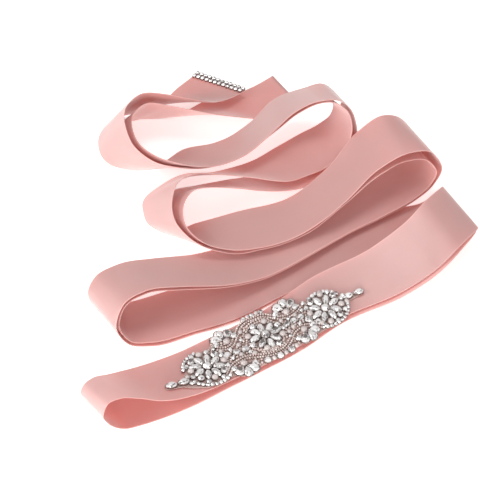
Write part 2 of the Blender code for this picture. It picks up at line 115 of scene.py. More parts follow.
# The upper ribbon half, from the curl at the front left to its sewn end at the back.
# x, y, z are its near edge; heading and dip aim the width from near edge to far edge.
# gap, slip, tilt and swing place the second half: its distance, its shift across the width,
# its extra dip and its extra heading.
PATH_COLUMNS = ("place", "x", "y", "z", "heading", "dip", "gap", "slip", "tilt", "swing")
PATH = (
    ("front curl", -88.7, -164.5, 23, 116, 22.5, 2, 0, 0, 0),
    ("curl top", -86.5, -160, 27, 117.5, 26, 9, 0, -8, 0),
    ("front pass", -78, -154, 27, 121, 23.5, 20, 0, -16, 0),
    ("front pass", -68, -151, 23.5, 122, 19.5, 20, 0, -14, 0),
    ("front pass", -55, -147, 16.5, 123, 11, 15, -1, -8, 0),
    ("front pass", -36, -136.5, 9.5, 123, 6, 8, -1.5, -4, 0),
    ("front pass", -7, -117.5, 5.5, 123, 3, 3.6, -2, -1, 0),
    ("front pass", 31, -91, 5, 122.5, 2.5, 2.2, -2.5, 0, 0),
    ("front pass", 61, -65, 5, 122.5, -1.5, 2.2, -2.5, 0, 0),
    ("front pass", 98, -46, 8, 122, -7, 2.2, -2.5, 0, 0),
    ("right rise", 123, -27, 12, 123.5, -12, 2.4, -2.5, 0, 0),
    ("right rise", 137.5, -10, 14.5, 124.5, -14, 3.2, -2, 0, 0),
    ("front fold", 150, 12, 8.5, 124.5, -8, 3.4, -1, 0, 0),
    ("second pass", 139, 9.5, 2, 124, 0, 2.4, 0, 0, 0),
    ("second pass", 120, 3.5, 0.6, 123, 0, 2, 1, 0, 0),
    ("second pass", 98, -3, 0.5, 122, 0, 1.8, 1, 0, 0),
    ("second pass", 58, -20, 0.5, 120, 0, 1.8, 1, 0, 0),
    ("second pass", 19, -46, 0.5, 119, 0, 1.8, 1, 0, 0),
    ("second pass", -9, -66, 1, 119, 0, 2.2, 1, 0, 0),
    ("second pass", -33, -76, 1, 120, 0, 2.6, 1, 0, 0),
    ("left rise", -63, -88, 2, 121, 1, 3, 1, 0, 0),
    ("left rise", -76.5, -90, 6, 121, 6, 3, 0, 0, 0),
    ("left fold", -84, -86.5, 16, 119.5, 7, 3, 0, 0, 0),
    ("left fold", -80, -78, 28, 119, 12, 3, 0, 0, 0),
    ("third pass", -66, -69, 32, 119, 14, 3, 0, 0, 0),
    ("third pass", -45, -61, 28, 120, 13, 3, 0, 0, 0),
    ("third pass", -16, -50, 18, 118, 9, 2.4, 0, 0, 0),
    ("third pass", 10, -35, 10, 116.5, 4, 2, 0, 0, 0),
    ("third pass", 42, -10, 8, 118, 1, 1.8, 0, 0, 0),
    ("third pass", 66, 9.5, 7, 119.5, 1, 1.8, 0, 0, 0),
    ("third pass", 90, 25.5, 7, 121, 0, 1.8, 0, 0, 0),
    ("right rise", 110, 39, 9.5, 122, 0, 2.4, 0, 0, 0),
    ("right fold", 121, 48, 14, 122, 0, 3.2, 0, 0, 0),
    ("right fold", 124.5, 52, 22, 121, 0, 6, 1, 0, -1),
    ("right fold", 117.1, 55.1, 29.6, 121, 0, 7.5, -0.5, 2, -3),
    ("fourth pass", 104.9, 52.1, 31.5, 117, 0, 8, -0.5, -1, -3),
    ("fourth pass", 87.1, 41.1, 30, 113, 0, 4.5, 1.5, 3, -1),
    ("fourth pass", 64, 21, 23, 107, 8, 2.4, 0, 0, 0),
    ("fourth pass", 37, 1, 14, 107, 8, 2.2, 0, 0, 0),
    ("fourth pass", 7, -13, 13, 120, 3, 2.6, 0, 0, 0),
    ("fourth pass", -12, -18.5, 15, 127, 10, 4, 0, 0, 0),
    ("bow front", -30, -18, 21.5, 124, 29, 3, 2, -1, 0),
    ("bow front", -40, -11.5, 24, 124, 35, 4, 1, -3, -1),
    ("bow side", -48, -1.5, 26.5, 128, 39, 6, -1.5, -4, -1),
    ("bow side", -51, 14.5, 28.5, 134, 43, 6.5, -5.5, -4, -1),
    ("bow side", -47.5, 32.5, 30, 148, 46, 10, -8.5, -3, -11),
    ("bow back", -35.8, 44.5, 26.8, 150, 41, 11, -9.5, -6, -11),
    ("bow back", -19.1, 49.6, 20.8, 140, 30, 9, -14, -2, -1),
    ("fifth pass", 0, 48.7, 19.8, 135, 28, 8, -11, -6, 0),
    ("fifth pass", 27, 47.6, 17.5, 129, 13, 6.5, -3.5, 4, 2),
    ("fifth pass", 40, 56, 15, 125, 7, 5.5, -4, -3, -1),
    ("back fold", 52, 64.5, 14.5, 119, 4, 3, 0, 0, 0),
    ("back fold", 63.5, 73.5, 21.5, 115, 12, 3, 0, 0, 0),
    ("back fold", 68.5, 79, 35, 111, 24, 5, 2, -11, -7),
    ("back fold", 66.6, 84, 44, 106, 30, 3.5, 2.5, -8, -2),
    ("sixth pass", 60.5, 90.5, 46.3, 104, 30, 3.2, 1.5, -8, 2),
    ("sixth pass", 48, 98, 42, 108, 27, 2.4, 0, 0, 0),
    ("sixth pass", 32.5, 95, 35, 116, 27, 2.8, 0, 0, 0),
    ("sixth pass", 16, 82, 29.5, 118, 29.5, 2.2, -2, 0, 0),
    ("sixth pass", -6, 66, 21.5, 120, 23, 2, -3, 0, 0),
    ("sixth pass", -25, 59.5, 19.5, 121, 20, 2, -3, 0, 0),
    ("far bow front", -47, 51, 26.5, 126, 38, 3, -2, 1, 0),
    ("far bow front", -64, 54.5, 28.5, 131, 43, 5, 0, 1, 0),
    ("far bow side", -77, 65, 32.5, 139, 51, 5.5, 0, 0, 0),
    ("far bow side", -83.5, 82, 34.5, 150, 56, 6, 0, -2, 0),
    ("far bow side", -83, 104, 34.5, 154, 56, 7.5, 0, -3, 0),
    ("far bow back", -73, 117, 34, 153, 55, 8.5, 0, -3, 0),
    ("far bow back", -57, 120.5, 30.5, 150, 48, 9, 0, -4, 0),
    ("end pass", -42, 121.5, 25.5, 148, 36, 8, 0, -3, 0),
    ("end pass", -26, 127.5, 16.5, 151, 19, 6, 0, 4, 0),
    ("end pass", -16, 137, 10.5, 152, 8, 4.5, 0, 2, 0),
    ("sewn end", -3.2, 150.5, 7, 150, 2, 4, 0, 0, 0),
)

# The second half's own start, where the front curl turns under.
CURL_COLUMNS = ("place", "x", "y", "z", "heading", "dip")
CURL = (
    ("curl side", -88.6, -164.2, 20.5, 116, 23),
    ("curl side", -86.2, -164, 15.5, 117.5, 21),
    ("curl under", -82.5, -161, 8.4, 120, 10.8),
    ("curl under", -76, -156.5, 1.6, 122, 1.5),
    ("curl under", -66, -152.5, 0.5, 122, 0),
    ("curl under", -55, -147.5, 0.5, 123, 0),
)

# The second half's own end, which runs on past the upper half.
TAIL = (
    ("under the end", -24, 110, 21, 145, 29),
    ("under the end", -11, 116.5, 13, 144, 18),
    ("long end", 2, 123.5, 5, 142, 6),
    ("long end", 20, 126, 2, 133, 1),
    ("cut end", 37.5, 140, 0.5, 122, 0),
)

UNDER_FROM_ROW = 5
UNDER_TO_ROW = 67


def aim(heading, dip):
    """Unit vector of the width: level heading, sunk by the dip."""
    turn, sink = np.radians(heading), np.radians(dip)
    return np.stack([np.cos(turn) * np.cos(sink), np.sin(turn) * np.cos(sink), -np.sin(sink)], axis=-1)


def knots(rows):
    """Path length at each row, halfway between the lengths of both edges."""
    near = rows[:, :3]
    far = near + RIBBON_WIDTH * aim(rows[:, 3], rows[:, 4])
    steps = [np.linalg.norm(np.diff(edge, axis=0), axis=1) for edge in (near, far)]
    return np.concatenate([[0.0], np.cumsum((steps[0] + steps[1]) / 2)])


def smooth(at, rows, where):
    """Cubic curve through the rows, each tangent the weighted mean of its two chords."""
    span = np.diff(at)
    chord = np.diff(rows, axis=0) / span[:, None]
    slope = np.empty_like(rows)
    weight = span[1:, None] * chord[:-1] + span[:-1, None] * chord[1:]
    slope[1:-1] = weight / (span[1:] + span[:-1])[:, None]
    slope[0] = 1.5 * chord[0] - 0.5 * slope[1]
    slope[-1] = 1.5 * chord[-1] - 0.5 * slope[-2]
    cell = np.clip(np.searchsorted(at, where, side="right") - 1, 0, len(span) - 1)
    part = ((where - at[cell]) / span[cell])[:, None]
    size = span[cell][:, None]
    start = rows[cell] * (2 * part**3 - 3 * part**2 + 1)
    start = start + slope[cell] * size * (part**3 - 2 * part**2 + part)
    end = rows[cell + 1] * (3 * part**2 - 2 * part**3)
    end = end + slope[cell + 1] * size * (part**3 - part**2)
    return start + end


def upper_rows():
    """The table's numbers for the upper half."""
    return np.array([row[1:] for row in PATH], dtype=float)


def under_rows():
    """Rows of the second half: its curl, the upper half moved in by the gap, and its long end."""
    table = upper_rows()
    at = knots(table)
    ends = np.clip(np.stack([at - 1.0, at, at + 1.0], axis=1), 0.0, at[-1])
    sides = smooth(at, table, ends.ravel()).reshape(len(table), 3, -1)
    width = aim(table[:, 3], table[:, 4])
    middle = sides[:, :, :3] + RIBBON_WIDTH / 2 * aim(sides[:, :, 3], sides[:, :, 4])
    normal = np.cross(middle[:, 2] - middle[:, 0], width)
    normal /= np.linalg.norm(normal, axis=1)[:, None]
    heading, dip = table[:, 3] + table[:, 8], table[:, 4] + table[:, 7]
    near = table[:, :3] - (table[:, 5:6] - HALVES_CLOSER) * normal + table[:, 6:7] * aim(heading, dip)
    moved = np.column_stack([near, heading, dip])[UNDER_FROM_ROW : UNDER_TO_ROW + 1]
    curl = np.array([row[1:] for row in CURL], dtype=float)
    tail = np.array([row[1:] for row in TAIL], dtype=float)
    return np.concatenate([curl, moved, tail])


def ribbon_rows():
    """The whole ribbon from the upper half's sewn end, round the front curl, to the cut end."""
    upper = upper_rows()[:, :5]
    under = under_rows()
    curl = (upper[:1] + under[:1]) / 2
    return np.concatenate([upper[:0:-1], curl, under[1:]])


ROWS = ribbon_rows()
AT = knots(ROWS)
RIBBON_LENGTH = AT[-1]


def middle_points(path, across):
    """Points of the ribbon's middle: near edge plus the distance across times the width's aim."""
    taken = smooth(AT, ROWS, path)
    points = taken[:, None, :3] + across[None, :, None] * aim(taken[:, 3], taken[:, 4])[:, None, :]
    points[..., 2] = np.maximum(points[..., 2], EDGE_THICK / 2 + 0.02)
    return points


def face_normals(path, across):
    """Unit normals: the cross product of the steps along and across the ribbon."""
    along = middle_points(np.minimum(path + 0.2, RIBBON_LENGTH), across)
    along = along - middle_points(np.maximum(path - 0.2, 0.0), across)
    normal = np.cross(np.gradient(middle_points(path, across), axis=1), along)
    return normal / np.linalg.norm(normal, axis=2, keepdims=True)


# Soft waves of the satin: length along it, height, start and how far the crest leans across.
WAVE_COLUMNS = ("length", "height", "phase", "lean")
WAVES = (
    (83.0, 0.16, 0.4, 0.6),
    (47.0, 0.10, 2.1, -1.1),
    (29.0, 0.06, 4.0, 1.7),
)


def waves(path, across):
    """Height of the satin's own unevenness: a few leaning sine waves, summed."""
    share = across / RIBBON_WIDTH
    height = np.zeros((len(path), len(across)))
    for length, crest, phase, lean in WAVES:
        height += crest * np.sin(2 * np.pi * path[:, None] / length + phase + lean * share * np.pi)
    return height


def bend_places(longest, turn):
    """Path lengths over the whole ribbon, closer together where it bends."""
    fine = np.arange(0.0, RIBBON_LENGTH, 0.5)
    normal = face_normals(fine, np.array([0.0, RIBBON_WIDTH / 2, RIBBON_WIDTH]))
    swing = np.degrees(np.arccos(np.clip((normal[1:] * normal[:-1]).sum(axis=2), -1, 1))).max(axis=1)
    effort = np.concatenate([[0.0], np.cumsum(np.diff(fine) / longest + swing / turn)])
    count = int(effort[-1]) + 2
    return np.interp(np.linspace(0, effort[-1], count), effort, fine)


# Steps of the satin's mesh: the longest along a flat stretch, and the largest turn in a bend.
LONGEST_STEP = 2.8
LARGEST_TURN = 5.0


def satin_strip():
    """Both faces of the satin: the middle moved out by half its thickness, thicker at the edges."""
    path = bend_places(LONGEST_STEP, LARGEST_TURN)
    inside = np.linspace(1.6, RIBBON_WIDTH - 1.6, 19)
    across = np.concatenate([[0.0, 0.35, 0.8], inside, RIBBON_WIDTH - np.array([0.8, 0.35, 0.0])])
    middle = middle_points(path, across)
    normal = face_normals(path, across)
    edge = np.minimum(across, RIBBON_WIDTH - across)
    thick = np.where(edge < 0.1, 0.3, np.where(edge < 0.6, EDGE_THICK, SATIN_THICK)) / 2
    middle = middle + waves(path, across)[..., None] * normal
    low, high = middle - thick[None, :, None] * normal, middle + thick[None, :, None] * normal
    count = len(path) * len(across)
    cell = np.arange(count).reshape(len(path), len(across))
    quads = np.stack([cell[:-1, :-1], cell[:-1, 1:], cell[1:, 1:], cell[1:, :-1]], axis=-1)
    quads = quads.reshape(-1, 4)
    rim = np.concatenate([cell[0, :-1], cell[:-1, -1], cell[-1, :0:-1], cell[:0:-1, 0]])
    ahead = np.roll(rim, -1)
    sides = np.stack([rim, rim + count, ahead + count, ahead], axis=-1)
    points = np.concatenate([low.reshape(-1, 3), high.reshape(-1, 3)])
    points[:, 2] = np.maximum(points[:, 2], 0.02)
    points[:, :2] -= BOX_MIDDLE
    faces = np.concatenate([quads, quads[:, ::-1] + count, sides])
    place = np.stack(np.meshgrid(path, across, indexing="ij"), axis=-1).reshape(-1, 2)
    return points * MM, faces, np.concatenate([place, place]) * MM


def turn_out(made):
    """Makes the faces of a closed mesh point outwards."""
    work = bmesh.new()
    work.from_mesh(made.data)
    bmesh.ops.recalc_face_normals(work, faces=work.faces)
    if work.calc_volume(signed=True) < 0:
        bmesh.ops.reverse_faces(work, faces=work.faces)
    work.to_mesh(made.data)
    work.free()


def give_uv(made, place):
    """A UV map in metres: along the ribbon and across it."""
    corners = np.empty(len(made.data.loops), dtype=np.int32)
    made.data.loops.foreach_get("vertex_index", corners)
    layer = made.data.uv_layers.new(name="cloth")
    layer.data.foreach_set("uv", place[corners].ravel())


strip_points, strip_faces, strip_place = satin_strip()
ribbon = make_mesh("satin_ribbon", strip_points, strip_faces)
turn_out(ribbon)
give_uv(ribbon, strip_place)

# Satin weave: long warp floats lie along the ribbon, so its sheen stretches across it.
# Real threads are 0.12 mm apart; they are drawn at 0.35 mm, the finest that shows.
SATIN_ROSE = "#D69D99"
SATIN_DEEP = "#D09590"
# Painted highlight: the woven edges are coloured lighter than the body, to lift edges that fall in shade.
EDGE_HIGHLIGHT = "#DDA6A0"
EDGE_HIGHLIGHT_WIDTH = 0.5
THREAD = 0.35


def satin_material():
    """Polyester satin: broad soft sheen, fine lengthwise threads, faint uneven dye, edges painted lighter as
    a highlight, and a faint painted red glow.
    """
    material, tree, shader = finish(
        "double_faced_satin",
        Roughness=0.4,
        Anisotropic=0.5,
        Sheen_Weight=0.8,
        Sheen_Roughness=0.45,
        Specular_IOR_Level=0.9,
        Subsurface_Weight=0.3,
        Subsurface_Radius=(1.0, 0.34, 0.32),
        Subsurface_Scale=0.005,
        # Painted glow: a faint red emission that lifts the satin's shaded folds and loop insides.
        Emission_Color=colour("#CC6058"),
        Emission_Strength=0.05,
        Sheen_Tint=colour("#FFEFEC"),
    )
    place = node(tree, "ShaderNodeUVMap", uv_map="cloth")
    stretch = node(
        tree, "ShaderNodeMapping", [("Vector", place.outputs["UV"])], Scale=(60.0, 1000 / THREAD, 1.0)
    )
    thread = node(tree, "ShaderNodeTexNoise", [("Vector", stretch.outputs["Vector"])], Scale=1.0, Detail=2.0)
    broad = node(tree, "ShaderNodeMapping", [("Vector", place.outputs["UV"])], Scale=(14.0, 40.0, 1.0))
    cloud = node(tree, "ShaderNodeTexNoise", [("Vector", broad.outputs["Vector"])], Scale=1.0, Detail=3.0)
    dye = node(tree, "ShaderNodeMix", [("Factor", cloud.outputs["Fac"])], data_type="RGBA")
    dye.inputs[6].default_value = colour(SATIN_ROSE)
    dye.inputs[7].default_value = colour(SATIN_DEEP)
    across = node(tree, "ShaderNodeSeparateXYZ", [("Vector", place.outputs["UV"])])
    half = RIBBON_WIDTH * MM / 2
    inward = node(tree, "ShaderNodeMath", [(0, across.outputs["Y"])], operation="SUBTRACT")
    inward.inputs[1].default_value = half
    reach = node(tree, "ShaderNodeMath", [(0, inward.outputs["Value"])], operation="ABSOLUTE")
    # Painted highlight band along both edges of the ribbon.
    rim = node(tree, "ShaderNodeMapRange", [("Value", reach.outputs["Value"])])
    rim.inputs["From Min"].default_value = half - 2.2 * EDGE_HIGHLIGHT_WIDTH * MM
    rim.inputs["From Max"].default_value = half - EDGE_HIGHLIGHT_WIDTH * MM
    edged = node(tree, "ShaderNodeMix", [("Factor", rim.outputs["Result"])], data_type="RGBA")
    tree.links.new(dye.outputs[2], edged.inputs[6])
    edged.inputs[7].default_value = colour(EDGE_HIGHLIGHT)
    tree.links.new(edged.outputs[2], shader.inputs["Base Color"])
    bump = node(tree, "ShaderNodeBump", [("Height", thread.outputs["Fac"])], Strength=0.12, Distance=0.0001)
    tree.links.new(bump.outputs["Normal"], shader.inputs["Normal"])
    tangent = node(tree, "ShaderNodeTangent", direction_type="UV_MAP", uv_map="cloth")
    tree.links.new(tangent.outputs["Tangent"], shader.inputs["Tangent"])
    return material


ribbon.data.materials.append(satin_material())
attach(ribbon, "root")
STRETCHES = ("front", "second", "third", "fourth", "fifth", "sixth", "end")
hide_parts(*[f"{half}_{name}_pass" for half in ("upper", "under") for name in STRETCHES])

# The applique's net: stiffened polyester tulle, 0.4 mm thick, cut to the ornament's outline
# and glued flat on the satin, so it follows the ribbon's rise and dip.
APPLIQUE_AT = 130.6
APPLIQUE_OFFSET = -1.5
APPLIQUE_TURN = -3.4
NET_LIFT = 0.7
NET_THICK = 0.4
NET_HOLE = 1.1
NET_THREAD = "#CDB0AA"
# Painted shade: the centres of the net's holes are coloured darker than the thread.
HOLE_PAINTED_SHADE = "#A08078"

# The net's outline: along the belt, lower edge, upper edge.
NET_COLUMNS = ("along", "low", "high")
NET_OUTLINE = (
    (-80.5, -13.5, -11),
    (-76, -13.5, -9),
    (-69, -14, -8.5),
    (-64, -17, -5),
    (-60, -18.5, 0),
    (-55, -20.5, 6),
    (-50, -21, 9.5),
    (-43, -21, 10),
    (-38, -19, 10.5),
    (-35, -19, 13),
    (-31, -22, 17),
    (-26, -23.5, 18.5),
    (-21, -22, 18.5),
    (-16, -19.5, 18.5),
    (-9, -19.5, 19.5),
    (-1, -20, 20),
    (7, -19.5, 18.5),
    (12, -18, 16.5),
    (18, -17.5, 15.5),
    (25, -17.5, 14.5),
    (31, -17.5, 11.5),
    (36, -17.5, 10),
    (43, -18.5, 10),
    (49, -17.5, 9),
    (54, -14, 5),
    (58, -10, 1),
    (62, -5.5, 0),
    (68, -4.5, 0),
    (72, -4, -1),
)


def on_applique(along, across, lift):
    """Points over the satin: along and across the turned applique, lifted along the face's normal."""
    turn = np.radians(APPLIQUE_TURN)
    table = upper_rows()[:, :5]
    at = knots(table)
    path = APPLIQUE_AT + along * np.cos(turn) - across * np.sin(turn)
    side = RIBBON_WIDTH / 2 + APPLIQUE_OFFSET + along * np.sin(turn) + across * np.cos(turn)
    spots = []
    for step in (-0.2, 0.0, 0.2):
        taken = smooth(at, table, path.ravel() + step)
        width = aim(taken[:, 3], taken[:, 4])
        spots.append(taken[:, :3] + side.ravel()[:, None] * width)
    normal = np.cross(spots[2] - spots[0], width)
    normal /= np.linalg.norm(normal, axis=1)[:, None]
    points = spots[1] + np.broadcast_to(lift, path.shape).ravel()[:, None] * normal
    points[:, :2] -= BOX_MIDDLE
    return (points * MM).reshape(*path.shape, 3)


def net_sheet():
    """A grid between the outline's lower and upper edges, closed into a thin wall."""
    outline = np.array(NET_OUTLINE)
    along = np.linspace(outline[0, 0], outline[-1, 0], 105)
    low = np.interp(along, outline[:, 0], outline[:, 1])
    high = np.interp(along, outline[:, 0], outline[:, 2])
    across = low[:, None] + np.linspace(0, 1, 21) * (high - low)[:, None]
    lengths = np.broadcast_to(along[:, None], across.shape)
    lifts = (NET_LIFT, NET_LIFT + NET_THICK)
    layers = [on_applique(lengths, across, lift).reshape(-1, 3) for lift in lifts]
    cell = np.arange(across.size).reshape(across.shape)
    quads = np.stack([cell[:-1, :-1], cell[:-1, 1:], cell[1:, 1:], cell[1:, :-1]], axis=-1)
    quads = quads.reshape(-1, 4)
    rim = np.concatenate([cell[0, :-1], cell[:-1, -1], cell[-1, :0:-1], cell[:0:-1, 0]])
    ahead = np.roll(rim, -1)
    sides = np.stack([rim, rim + cell.size, ahead + cell.size, ahead], axis=-1)
    faces = np.concatenate([quads, quads[:, ::-1] + cell.size, sides])
    place = np.stack([lengths.ravel(), across.ravel()], axis=1)
    area = ((high - low)[:-1] + (high - low)[1:]).sum() / 2 * (along[1] - along[0])
    return np.concatenate(layers), faces, np.concatenate([place, place]) * MM, area * MM * MM


net_points, net_faces, net_place, net_area = net_sheet()
net = make_mesh("net_backing", net_points, net_faces)
turn_out(net)
give_uv(net, net_place)


def net_material():
    """Stiffened tulle: dull, with fine round holes in rows 1.1 mm apart, deeper than the thread and painted
    darker as shade.
    """
    material, tree, shader = finish("stiffened_tulle", Roughness=0.75)
    place = node(tree, "ShaderNodeUVMap", uv_map="cloth")
    holes = node(tree, "ShaderNodeTexVoronoi", [("Vector", place.outputs["UV"])], Scale=1000 / NET_HOLE)
    holes.inputs["Randomness"].default_value = 0.15
    ramp = node(tree, "ShaderNodeValToRGB", [("Fac", holes.outputs["Distance"])])
    ramp.color_ramp.elements[0].position = 0.2
    ramp.color_ramp.elements[0].color = colour(HOLE_PAINTED_SHADE)
    ramp.color_ramp.elements[1].position = 0.5
    ramp.color_ramp.elements[1].color = colour(NET_THREAD)
    tree.links.new(ramp.outputs["Color"], shader.inputs["Base Color"])
    height = [("Height", holes.outputs["Distance"])]
    bump = node(tree, "ShaderNodeBump", height, Strength=0.4, Distance=0.0002)
    tree.links.new(bump.outputs["Normal"], shader.inputs["Normal"])
    return material


net.data.materials.append(net_material())
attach(net, "root")
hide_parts("applique_backing")

# Cut stones, pearls and their settings. Each crystal is foil-backed cut glass held by claws in
# a plated brass cup; the pearls are glass beads with a milky coat. Every kind is one small shape
# of unit length and width, set down many times over and joined into one mesh.
BED = 1.15
# Painted reflections on the crystals: each facet gets one of these shades at random, in place of the studio
# it would mirror.
FACET_PAINTED_REFLECTIONS = (0.05, 0.3, 0.55, 0.7, 0.8, 0.9, 0.95, 1.0)


def outline_points(kind, count):
    """Outline of unit length and width: a circle, two meeting parabolas, or sine times half sine."""
    turn = np.linspace(0, 2 * np.pi, count, endpoint=False)
    if kind == "round":
        return np.stack([np.cos(turn), np.sin(turn)], axis=1) / 2
    if kind == "marquise":
        along = np.cos(turn) / 2
        return np.stack([along, np.sign(np.sin(turn)) * (1 - 4 * along**2) ** 0.75 / 2], axis=1)
    wide = np.sin(turn) * np.sin(turn / 2) ** 1.3
    return np.stack([-np.cos(turn) / 2, wide / (2 * wide.max())], axis=1)


def stacked(rings):
    """Points of flat rings, each with its height, one ring after the other."""
    return np.concatenate([np.column_stack([ring, np.full(len(ring), height)]) for ring, height in rings])


def ring_faces(rings, count):
    """Quads between rings of points, the lowest ring capped below and the last above."""
    start = np.arange(count)
    ahead = np.roll(start, -1)
    faces = []
    for ring in range(rings - 1):
        low, high = ring * count, (ring + 1) * count
        faces += np.stack([low + start, low + ahead, high + ahead, high + start], axis=1).tolist()
    return faces + [start[::-1].tolist(), (start + (rings - 1) * count).tolist()]


def cut_stone(kind, count):
    """A cut stone: girdle, sloping crown whose upper corners fall between the lower, flat table."""
    girdle = outline_points(kind, count)
    between = (girdle + np.roll(girdle, -1, axis=0)) / 2
    rings = ((girdle * 0.85, 0.0), (girdle, 0.42), (between * 0.8, 0.8), (girdle * 0.5, 1.0))
    points = stacked(rings)
    start = np.arange(count)
    ahead = np.roll(start, -1)
    faces = np.stack([start, ahead, count + ahead, count + start], axis=1).tolist()
    for low, shift in ((count, 0), (2 * count, 1)):
        high = low + count
        corner = ahead if shift == 0 else start
        inner = start if shift == 0 else ahead
        faces += np.stack([low + start, low + ahead, high + inner], axis=1).tolist()
        faces += np.stack([low + corner, high + ahead, high + start], axis=1).tolist()
    faces += [start[::-1].tolist(), (start + 3 * count).tolist()]
    return points, faces


def cup(kind, count):
    """A setting: wall flaring to its lip, then in to the stone's girdle."""
    line = outline_points(kind, count)
    rings = ((line * 0.95, 0.0), (line * 1.1, 0.3), (line * 1.08, 0.46), (line * 0.9, 0.46))
    return stacked(rings), ring_faces(len(rings), count)


def bead(count, rings):
    """A ball of unit diameter standing on its lowest point, as rings between two small caps."""
    rise = np.linspace(0.12, np.pi - 0.12, rings)
    turn = np.linspace(0, 2 * np.pi, count, endpoint=False)
    wide = np.sin(rise)[:, None] / 2
    high = np.broadcast_to(0.5 - np.cos(rise)[:, None] / 2, (rings, count))
    points = np.stack([wide * np.cos(turn), wide * np.sin(turn), high], axis=-1).reshape(-1, 3)
    return points, ring_faces(rings, count)


SHAPES = {
    "round": (cut_stone("round", 8), cup("round", 10)),
    "marquise": (cut_stone("marquise", 10), cup("marquise", 12)),
    "drop": (cut_stone("drop", 10), cup("drop", 12)),
}
PEARL = bead(12, 9)
SEED = bead(6, 5)


def set_down(shape, spots):
    """Copies of a shape at rows of along, across, turn, length, width, lift and height."""
    points, faces = shape
    spots = np.asarray(spots, dtype=float)
    turn = np.radians(spots[:, 2])[:, None]
    x = points[None, :, 0] * spots[:, 3:4]
    y = points[None, :, 1] * spots[:, 4:5]
    along = spots[:, 0:1] + x * np.cos(turn) - y * np.sin(turn)
    across = spots[:, 1:2] + x * np.sin(turn) + y * np.cos(turn)
    lift = spots[:, 5:6] + points[None, :, 2] * spots[:, 6:7]
    placed = np.stack([along, across, lift], axis=-1).reshape(-1, 3)
    starts = [copy * len(points) for copy in range(len(spots))]
    copies = [[corner + start for corner in face] for start in starts for face in faces]
    return placed, copies


def jewel_object(name, groups, carry=on_applique):
    """Joins groups of (shape, spots, material number, smooth) into one mesh over the satin."""
    points, faces, numbers, soft = [], [], [], []
    start = 0
    for shape, spots, number, smooth_faces in groups:
        placed, copies = set_down(shape, spots)
        points.append(carry(placed[:, 0], placed[:, 1], placed[:, 2]))
        faces += [[corner + start for corner in face] for face in copies]
        numbers += [number] * len(copies)
        soft += [smooth_faces] * len(copies)
        start += len(placed)
    made = make_mesh(name, np.concatenate(points), faces)
    made.data.polygons.foreach_set("material_index", numbers)
    made.data.polygons.foreach_set("use_smooth", soft)
    # Painted reflections: a random shade for each face, read by the crystal's colour ramp.
    shade = np.random.default_rng(len(faces)).choice(FACET_PAINTED_REFLECTIONS, len(faces))
    layer = made.data.attributes.new("facet", "FLOAT", "FACE")
    layer.data.foreach_set("value", shade)
    turn_out(made)
    for material in (crystal, plating, pearl_coat, rose_bead):
        made.data.materials.append(material)
    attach(made, "root")
    return made


def crystal_material():
    """Foil-backed lead glass: hard gloss, each facet given a painted reflection, a random shade from warm
    grey to white.
    """
    material, tree, shader = finish(
        "foil_backed_crystal", Roughness=0.08, Metallic=0.25, Coat_Weight=0.8, Coat_Roughness=0.03
    )
    facet = node(tree, "ShaderNodeAttribute", attribute_name="facet")
    ramp = node(tree, "ShaderNodeValToRGB", [("Fac", facet.outputs["Fac"])])
    ramp.color_ramp.elements[0].color = colour("#6B6260")
    ramp.color_ramp.elements[1].color = colour("#FFFDFC")
    tree.links.new(ramp.outputs["Color"], shader.inputs["Base Color"])
    return material


def plating_material():
    """Silver-plated brass, warm grey and patchy at random: partly real tarnish, partly painted shade for the
    gaps between the stones.
    """
    material, tree, shader = finish("tarnish_and_shade_silver_plate", Metallic=1.0, Roughness=0.34)
    place = node(tree, "ShaderNodeTexCoord")
    dull = node(tree, "ShaderNodeTexNoise", [("Vector", place.outputs["Object"])], Scale=900.0, Detail=2.0)
    ramp = node(tree, "ShaderNodeValToRGB", [("Fac", dull.outputs["Fac"])])
    # Painted shade: the dark end of the ramp darkens the cups to stand in for shadow between the stones.
    ramp.color_ramp.elements[0].position = 0.35
    ramp.color_ramp.elements[0].color = colour("#65544F")
    ramp.color_ramp.elements[1].position = 0.65
    ramp.color_ramp.elements[1].color = colour("#AC9C96")
    tree.links.new(ramp.outputs["Color"], shader.inputs["Base Color"])
    return material


def pearl_material():
    """Glass pearl: milky coat with a soft rosy depth and a clear small highlight."""
    material, tree, shader = finish(
        "milky_glass_pearl", Roughness=0.2, Coat_Weight=0.5, Coat_Roughness=0.08, Sheen_Weight=0.15
    )
    place = node(tree, "ShaderNodeTexCoord")
    cloud = node(tree, "ShaderNodeTexNoise", [("Vector", place.outputs["Object"])], Scale=500.0, Detail=1.0)
    ramp = node(tree, "ShaderNodeValToRGB", [("Fac", cloud.outputs["Fac"])])
    ramp.color_ramp.elements[0].color = colour("#B5A8A5")
    ramp.color_ramp.elements[1].color = colour("#DDD3D0")
    tree.links.new(ramp.outputs["Color"], shader.inputs["Base Color"])
    return material


def rose_bead_material():
    """Silver-lined glass seed beads, rosy from the satin and the thread that shows through."""
    material, tree, shader = finish("silver_lined_seed_beads", Roughness=0.28, Metallic=0.4)
    place = node(tree, "ShaderNodeTexCoord")
    mixed = node(tree, "ShaderNodeTexNoise", [("Vector", place.outputs["Object"])], Scale=700.0, Detail=1.0)
    ramp = node(tree, "ShaderNodeValToRGB", [("Fac", mixed.outputs["Fac"])])
    ramp.color_ramp.elements[0].position = 0.35
    ramp.color_ramp.elements[0].color = colour("#BFA49D")
    ramp.color_ramp.elements[1].position = 0.65
    ramp.color_ramp.elements[1].color = colour("#F8ECE8")
    tree.links.new(ramp.outputs["Color"], shader.inputs["Base Color"])
    return material


crystal = crystal_material()
plating = plating_material()
pearl_coat = pearl_material()
rose_bead = rose_bead_material()


def set_stones(kind, spots):
    """The groups for stones of one kind: a cup and a cut stone in it, a little smaller."""
    spots = np.asarray(spots, dtype=float)
    stones, cups = SHAPES[kind]
    return [(stones, spots, 0, False), (cups, spots, 1, False)]


